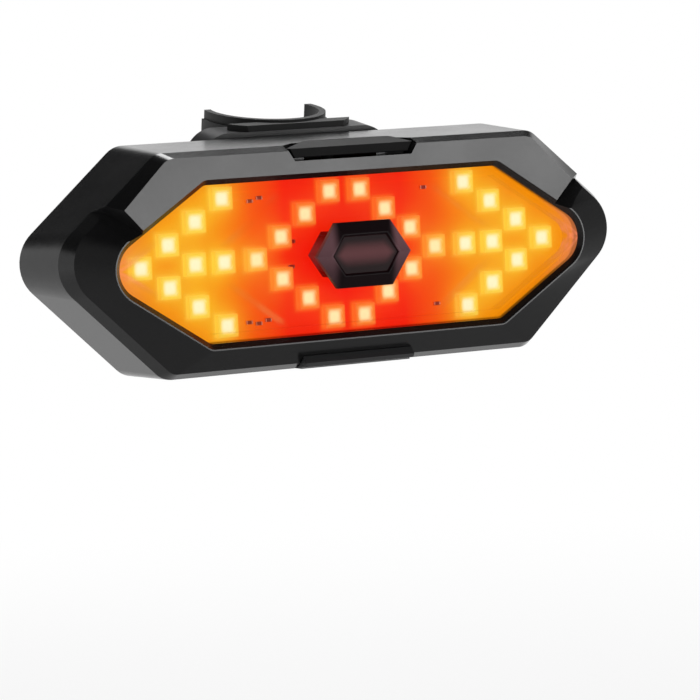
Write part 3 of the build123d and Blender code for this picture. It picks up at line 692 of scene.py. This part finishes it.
class Shape:
    """One new piece, drawn in millimetres and made in metres."""

    def __init__(self, name: str) -> None:
        """Starts an empty shape.

        Args:
            name: The piece's name.
        """
        self.name = name
        self.mesh = bmesh.new()

    def plate(self, corners: Sequence[Place]) -> bmesh.types.BMFace:
        """Adds one flat face.

        Args:
            corners: Its corners, in order.

        Returns:
            The face.
        """
        verts = [self.mesh.verts.new([length * MM for length in corner]) for corner in corners]
        return self.mesh.faces.new(verts)

    def block(self, low: Place, high: Place, edge: float, segments: int = 2) -> None:
        """Adds a block with rounded edges.

        Args:
            low: Lowest corner.
            high: Highest corner.
            edge: Width of its bevels.
            segments: Steps of each bevel.
        """
        made = bmesh.ops.create_cube(self.mesh, size=1.0)["verts"]
        bmesh.ops.scale(self.mesh, verts=made, vec=[(b - a) * MM for a, b in zip(low, high)])
        bmesh.ops.translate(self.mesh, verts=made, vec=[(a + b) / 2 * MM for a, b in zip(low, high)])
        edges = {e for v in made for e in v.link_edges}
        bmesh.ops.bevel(self.mesh, geom=list(edges), offset=edge * MM, segments=segments, affect="EDGES",
                        profile=0.5, material=-1)

    def pulled(self, face: bmesh.types.BMFace, by: Place) -> bmesh.types.BMFace:
        """Extrudes a face.

        Args:
            face: The face to extrude.
            by: How far, in millimetres.

        Returns:
            The face at the new end.
        """
        made = bmesh.ops.extrude_face_region(self.mesh, geom=[face])["geom"]
        moved = [v for v in made if isinstance(v, bmesh.types.BMVert)]
        bmesh.ops.translate(self.mesh, verts=moved, vec=[length * MM for length in by])
        return next(f for f in made if isinstance(f, bmesh.types.BMFace))

    def narrow(self, face: bmesh.types.BMFace, thickness: float, depth: float = 0.0) -> None:
        """Insets a face.

        Args:
            face: The face, which becomes the inner one.
            thickness: Width of the border, in millimetres.
            depth: How far the face stands out, in millimetres.
        """
        bmesh.ops.inset_region(self.mesh, faces=[face], thickness=thickness * MM, depth=depth * MM,
                               use_even_offset=True, use_boundary=True)

    def soften(self, edge: float) -> None:
        """Rounds every sharp edge, by this width."""
        bmesh.ops.recalc_face_normals(self.mesh, faces=self.mesh.faces)
        sharp = [e for e in self.mesh.edges if e.is_manifold and e.calc_face_angle() > SHARP]
        bmesh.ops.bevel(self.mesh, geom=sharp, offset=edge * MM, segments=2, affect="EDGES", profile=0.5,
                        material=-1)

    def finish(self, finish: Finish, body: str, slot: str) -> bpy.types.Object:
        """Makes the object, and lets it ride on a CAD body.

        Args:
            finish: Its finish.
            body: The body that carries it.
            slot: Not used.

        Returns:
            The object.
        """
        bmesh.ops.recalc_face_normals(self.mesh, faces=self.mesh.faces)
        data = bpy.data.meshes.new(self.name)
        self.mesh.to_mesh(data)
        self.mesh.free()
        data.materials.append(finish.material())
        made = bpy.data.objects.new(self.name, data)
        bpy.context.scene.collection.objects.link(made)
        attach(made, body)
        log.info("made %s", self.name)
        return made


@dataclass
class Cap:
    """Centre cap: a wide-bevelled frame round a sunk window, on its neck."""

    half_height: float = 7.3
    corner_x: float = 7.0
    tip_x: float = 12.01
    side: float = 1.3
    bevel: float = 2.5
    bevel_rise: float = 1.0
    rim: float = 0.35
    slope: float = 0.3
    sunk: float = 0.4
    neck_inset: float = 2.2
    edge: float = 0.1

    def build(self) -> None:
        """Builds the cap where its CAD node stands."""
        low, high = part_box("centre_cap")
        seat = low[1] / MM + self.side + self.bevel_rise
        shape = Shape("cap_frame")
        left = [(-self.corner_x, self.half_height), (-self.tip_x, 0.0), (-self.corner_x, -self.half_height)]
        right = [(-x, z) for x, z in reversed(left)]
        back = shape.plate([(x, seat, z) for x, z in left + right])
        front = shape.pulled(back, (0.0, -self.side, 0.0))
        shape.mesh.normal_update()
        for thickness, depth in ((self.bevel, self.bevel_rise), (self.rim, 0.0), (self.slope, -self.sunk)):
            shape.narrow(front, thickness, depth)
        shape.narrow(back, self.neck_inset)
        shape.pulled(back, (0.0, high[1] / MM - seat, 0.0))
        shape.soften(self.edge)
        made = shape.finish(CapFinish("cap_frame_dark_red"), "light", "cap_plastic")
        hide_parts("centre_cap")


@dataclass
class Button:
    """Mode button: a six-sided key whose top slopes up to its back, with its tongue."""

    floor_half: float = 14.5
    half_width: float = 15.75
    taper_y: float = -43.9
    back_half: float = 11.9
    back_y: float = -40.9
    front_top: float = 24.2
    ridge_top: float = 25.6
    ridge_y: float = -43.5
    ridge_half: float = 11.2
    tongue_half: float = 9.0
    tongue_thickness: float = 0.9
    tongue_root: float = 0.5
    tongue_edge: float = 0.1
    edge: float = 0.22

    def build(self) -> None:
        """Builds the button where its CAD node stands."""
        low, high = (Vector(corner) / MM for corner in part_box("mode_button"))
        shape = Shape("mode_key")
        mesh = shape.mesh
        half, back = self.half_width, self.back_half
        right = [(half, low.y), (half, self.taper_y), (back, self.back_y)]
        plan = [(-half, low.y), *right, (-back, self.back_y), (-half, self.taper_y)]
        floor = shape.plate([(x, y, low.z) for x, y in plan])
        shoulder = shape.pulled(floor, (0.0, 0.0, self.front_top - low.z))
        ridge = shape.pulled(shoulder, (0.0, 0.0, self.ridge_top - self.front_top))
        bmesh.ops.scale(mesh, verts=list(floor.verts), vec=(self.floor_half / half, 1.0, 1.0))
        bmesh.ops.scale(mesh, verts=list(ridge.verts), vec=(self.ridge_half / half, 1.0, 1.0))
        # The ridge is drawn back from the front, so the top slopes up to it.
        for vert in ridge.verts:
            vert.co.y = max(vert.co.y, self.ridge_y * MM)
        bmesh.ops.remove_doubles(mesh, verts=mesh.verts, dist=MERGE * MM)
        shape.soften(self.edge)
        shape.block((-self.tongue_half, self.back_y - self.tongue_root, low.z),
                    (self.tongue_half, high.y, low.z + self.tongue_thickness), self.tongue_edge)
        rubber = Moulding("key_rubber", (0.005, 0.005, 0.005), 0.45, 0.008, 0.1)
        made = shape.finish(rubber, "button", "button_rubber")
        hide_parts("mode_button")


@dataclass
class BoardParts:
    """Small surface-mounted resistors between the lamps."""

    places: tuple[Span, ...] = (
        (-23.6, 13.0), (-21.2, 13.6), (-25.0, -13.8), (-22.6, -14.2), (-20.2, -13.6),
        (-13.4, 3.4), (-13.8, -2.2), (21.0, 13.4), (23.4, -13.2))
    length: float = 1.6
    width: float = 0.8
    thickness: float = 0.45
    end: float = 0.3
    end_rise: float = 0.03
    edge: float = 0.06

    def build(self) -> None:
        """Builds the resistors' bodies and their metal ends on the board's face."""
        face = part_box("led_board")[0][1] / MM
        bodies, ends = Shape("resistor_bodies"), Shape("resistor_ends")
        for x, z in self.places:
            half_x, half_z = self.length / 2, self.width / 2
            bodies.block((x - half_x + self.end, face - self.thickness, z - half_z),
                         (x + half_x - self.end, face, z + half_z), self.edge)
            for side in (-1, 1):
                near, far = sorted((x + side * (half_x - self.end), x + side * half_x))
                ends.block((near, face - self.thickness - self.end_rise, z - half_z),
                           (far, face, z + half_z), self.edge)
        bodies.finish(Moulding("resistor_red", (0.3, 0.012, 0.004), 0.5), "light", "chip_black")
        ends.finish(Metal("resistor_tin", (0.8, 0.3, 0.2), 0.4), "light", "screw_steel")


@dataclass
class CoverRibs:
    """Moulded ribs on the rear cover, at both sides of its rails."""

    first_x: float = 34.0
    pitch: float = 3.6
    count: int = 5
    half_height: float = 15.0
    fall: float = 1.9
    width: float = 1.3
    rise: float = 0.55
    sunk: float = 0.1
    edge: float = 0.35
    steps: int = 3

    def build(self) -> None:
        """Builds the ribs on the cover's back face."""
        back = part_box("cover_screws")[1][1] / MM
        shape = Shape("cover_ribs")
        for side in (-1, 1):
            for step in range(self.count):
                x = side * (self.first_x + step * self.pitch)
                half, half_width = self.half_height - step * self.fall, self.width / 2
                shape.block((x - half_width, back - self.sunk, -half),
                            (x + half_width, back + self.rise, half), self.edge, self.steps)
        shape.finish(Moulding("rib_black", (0.016, 0.016, 0.017), 0.5, 0.02), "light", "cover_plastic")


@dataclass(frozen=True)
class Softbox:
    """One rectangular soft light, in millimetres and watts."""

    name: str
    at: Place
    aim: Place
    size: Span
    power: float

    def build(self) -> None:
        """Hangs the light."""
        data = bpy.data.lights.new(self.name, "AREA")
        data.shape = "RECTANGLE"
        data.size, data.size_y = self.size[0] * MM, self.size[1] * MM
        data.energy = self.power
        made = bpy.data.objects.new(self.name, data)
        made.location = Vector(self.at) * MM
        toward = (Vector(self.aim) - Vector(self.at)).normalized()
        made.rotation_euler = toward.to_track_quat("-Z", "Y").to_euler()
        bpy.context.scene.collection.objects.link(made)


@dataclass
class Studio:
    """Pale floor, backdrop, lamps and the camera."""

    camera_at: Place = (-433.93, -812.43, 55.66)
    yaw: float = 29.36
    pitch: float = 5.01
    roll: float = -2.51
    focal: float = 203.5
    near_clip: float = 10.0
    floor_z: float = -120.0
    floor_half: float = 6000.0
    floor_fade: Span = (120.0, 420.0)
    floor_shade: float = 0.45
    floor_front: Span = (-60.0, 160.0)
    world_front: Span = (-0.35, 0.35)
    dark_above: Span = (0.32, 0.48)
    overhead_dark: float = 0.96
    front_share: float = 0.25
    surround: float = 0.35
    floor_cloud: Place = (0.02, 0.02, 0.02)
    floor_colours: tuple[Colour, Colour] = ((0.8, 0.8, 0.8), (0.84, 0.84, 0.84))
    floor_roughness: float = 0.9
    lamps: tuple[Softbox, ...] = (
        Softbox("overhead", (260, 320, 880), (0, 0, 0), (700, 420), 9.0),
        Softbox("front_right", (540, -960, -95), (0, -40, 0), (520, 300), 2.6))

    def camera(self) -> None:
        """Sets the camera at the photograph's angle."""
        yaw, pitch, roll = (math.radians(v) for v in (self.yaw, self.pitch, self.roll))
        ahead = Vector((math.sin(yaw) * math.cos(pitch), math.cos(yaw) * math.cos(pitch), -math.sin(pitch)))
        right = Vector((math.cos(yaw), -math.sin(yaw), 0.0))
        up = right.cross(ahead)
        turned_right = right * math.cos(roll) + up * math.sin(roll)
        turned_up = up * math.cos(roll) - right * math.sin(roll)
        data = bpy.data.cameras.new("camera")
        data.lens = self.focal
        data.clip_start = self.near_clip * MM
        made = bpy.data.objects.new("camera", data)
        turn = Matrix((turned_right, turned_up, -ahead)).transposed()
        made.matrix_world = Matrix.Translation(Vector(self.camera_at) * MM) @ turn.to_4x4()
        bpy.context.scene.collection.objects.link(made)
        bpy.context.scene.camera = made

    def floor(self) -> None:
        """Lays the pale floor."""
        mesh = bpy.data.meshes.new("floor")
        shape = bmesh.new()
        bmesh.ops.create_grid(shape, x_segments=1, y_segments=1, size=self.floor_half * MM)
        bmesh.ops.translate(shape, verts=shape.verts, vec=(0, 0, self.floor_z * MM))
        shape.to_mesh(mesh)
        shape.free()
        obj = bpy.data.objects.new("floor", mesh)
        bpy.context.scene.collection.objects.link(obj)
        g = Graph("floor_pale")
        cloud = g.noise(Noise.SOFT_CLOUD, self.floor_cloud)
        path = g.node("ShaderNodeLightPath")
        x, y, _ = g.place()
        far = (x * x + y * y).power(0.5).step(*self.floor_fade)
        behind = y.step(*self.floor_front) * (1 - self.front_share) + self.front_share
        plain = g.wire(path.outputs["Is Camera Ray"]) + g.wire(path.outputs["Is Transmission Ray"])
        glossy = g.wire(path.outputs["Is Glossy Ray"])
        # The floor looks white from afar, and its reflection is darker in front of the lens.
        seen = (plain * (far * self.floor_shade + (1 - self.floor_shade)) + glossy * behind).held()
        in_front = glossy * (1 - behind)
        pale = g.blend(cloud, *self.floor_colours)
        shader = g.node("ShaderNodeBsdfPrincipled", inputs={
            "Base Color": g.blend(in_front, pale, BLACK), "Roughness": self.floor_roughness})
        white = g.node("ShaderNodeEmission", inputs={"Color": WHITE, "Strength": 1.0})
        mix = g.node("ShaderNodeMixShader", inputs={0: seen, 1: shader.outputs[0], 2: white.outputs[0]})
        g.node("ShaderNodeOutputMaterial", inputs={"Surface": mix.outputs[0]})
        mesh.materials.append(g.owner)

    def world(self) -> None:
        """Sets a white surround, which is darker overhead and in front for the gloss of the mouldings."""
        world = bpy.data.worlds.new("surround")
        bpy.context.scene.world = world
        g = Graph("surround", world)
        coords = g.node("ShaderNodeTexCoord")
        split = g.node("ShaderNodeSeparateXYZ", inputs={0: coords.outputs["Generated"]})
        overhead = g.wire(split.outputs[2]).step(*self.dark_above)
        behind = g.wire(split.outputs[1]).step(*self.world_front) * (1 - self.front_share) + self.front_share
        path = g.node("ShaderNodeLightPath")
        glossy = g.wire(path.outputs["Is Glossy Ray"])
        seen = (g.wire(path.outputs["Is Camera Ray"]) + g.wire(path.outputs["Is Transmission Ray"])
                + glossy * (1 - overhead * self.overhead_dark) * behind).held()
        soft = g.node("ShaderNodeBackground", inputs={0: WHITE, 1: self.surround})
        dim = g.node("ShaderNodeBackground", inputs={0: WHITE, 1: 0.0})
        base = g.node("ShaderNodeMixShader", inputs={0: glossy, 1: soft.outputs[0], 2: dim.outputs[0]})
        white = g.node("ShaderNodeBackground", inputs={0: WHITE, 1: 1.0})
        mix = g.node("ShaderNodeMixShader", inputs={0: seen, 1: base.outputs[0], 2: white.outputs[0]})
        g.node("ShaderNodeOutputWorld", inputs={"Surface": mix.outputs[0]})

    def build(self) -> None:
        """Sets the whole scene."""
        self.camera()
        self.floor()
        self.world()
        for lamp in self.lamps:
            lamp.build()
        bpy.context.scene.view_settings.view_transform = "Standard"


def main() -> None:
    """Builds the scene."""
    logging.basicConfig(level=logging.INFO, format="%(message)s")
    Studio().build()
    log.info("studio set")
    Light().dress()
    Cap().build()
    Button().build()
    BoardParts().build()
    CoverRibs().build()


if __name__ == "__main__":
    main()
